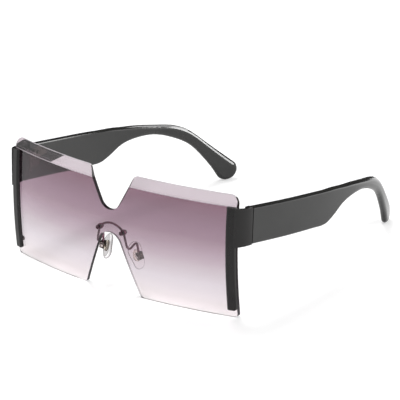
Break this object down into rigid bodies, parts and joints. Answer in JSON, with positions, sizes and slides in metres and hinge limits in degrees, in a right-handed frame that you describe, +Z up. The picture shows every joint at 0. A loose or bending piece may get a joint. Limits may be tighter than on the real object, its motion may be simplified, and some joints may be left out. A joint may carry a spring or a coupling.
{
  "type": "sunglasses",
  "caption": "Rimless shield sunglasses: a curved tinted lens with a faceted top edge, a wire bridge with rocking nose pads, side bars and folding temples.",
  "frame": {"origin": "centre of the bounding box on the surface that the lens's lower edges and the temple tips rest on", "axes": "+Z up, -Y the way the glasses face, +X towards the wearer's left; the temples run along +Y"},
  "size_m": [0.1462, 0.1638, 0.0611],
  "materials": {
    "tinted_lens": "polished polycarbonate, purple-grey tint fading to clear at the bottom",
    "grey_plastic": "glossy dark grey",
    "dark_metal": "gunmetal plating",
    "steel": "bright",
    "clear_plastic": "clear",
    "silicone": "clear silicone"
  },
  "bodies": {
    "front": {"lens": "tinted_lens", "end_bar_left": "grey_plastic", "end_bar_right": "grey_plastic", "lens_pin_left": "dark_metal", "lens_pin_right": "dark_metal", "hinge_front_leaf_left": "dark_metal", "hinge_front_leaf_right": "dark_metal", "hinge_front_screws_left": "steel", "hinge_front_screws_right": "steel", "hinge_screw_left": "steel", "hinge_screw_right": "steel", "bridge_bar": "dark_metal", "bridge_screw_left": "dark_metal", "bridge_screw_right": "dark_metal", "bridge_washer_left": "clear_plastic", "bridge_washer_right": "clear_plastic", "bridge_nut_left": "dark_metal", "bridge_nut_right": "dark_metal", "pad_arm_left": "dark_metal", "pad_arm_right": "dark_metal", "pad_box_left": "steel", "pad_box_right": "steel", "pad_screw_left": "steel", "pad_screw_right": "steel"},
    "temple_left": {"temple_left": "grey_plastic", "hinge_temple_leaf_left": "dark_metal", "hinge_temple_rivets_left": "steel"},
    "temple_right": {"temple_right": "grey_plastic", "hinge_temple_leaf_right": "dark_metal", "hinge_temple_rivets_right": "steel"},
    "pad_left": {"nose_pad_left": "silicone", "pad_insert_left": "clear_plastic"},
    "pad_right": {"nose_pad_right": "silicone", "pad_insert_right": "clear_plastic"}
  },
  "joints": [
    {"name": "temple_left_fold", "type": "hinge", "parent": "front", "child": "temple_left", "pos_m": [0.0666, -0.06295, 0.0449], "axis": [0, 0, 1], "range_deg": [0, 85]},
    {"name": "temple_right_fold", "type": "hinge", "parent": "front", "child": "temple_right", "pos_m": [-0.0666, -0.06295, 0.0449], "axis": [0, 0, -1], "range_deg": [0, 74]},
    {"name": "pad_left_rock", "type": "hinge", "parent": "front", "child": "pad_left", "pos_m": [0.0115, -0.07265, 0.0187], "axis": [0.1408, 0.9781, 0.1533], "range_deg": [-8, 8]},
    {"name": "pad_right_rock", "type": "hinge", "parent": "front", "child": "pad_right", "pos_m": [-0.0115, -0.07265, 0.0187], "axis": [-0.1408, 0.9781, 0.1533], "range_deg": [-8, 8]}
  ]
}
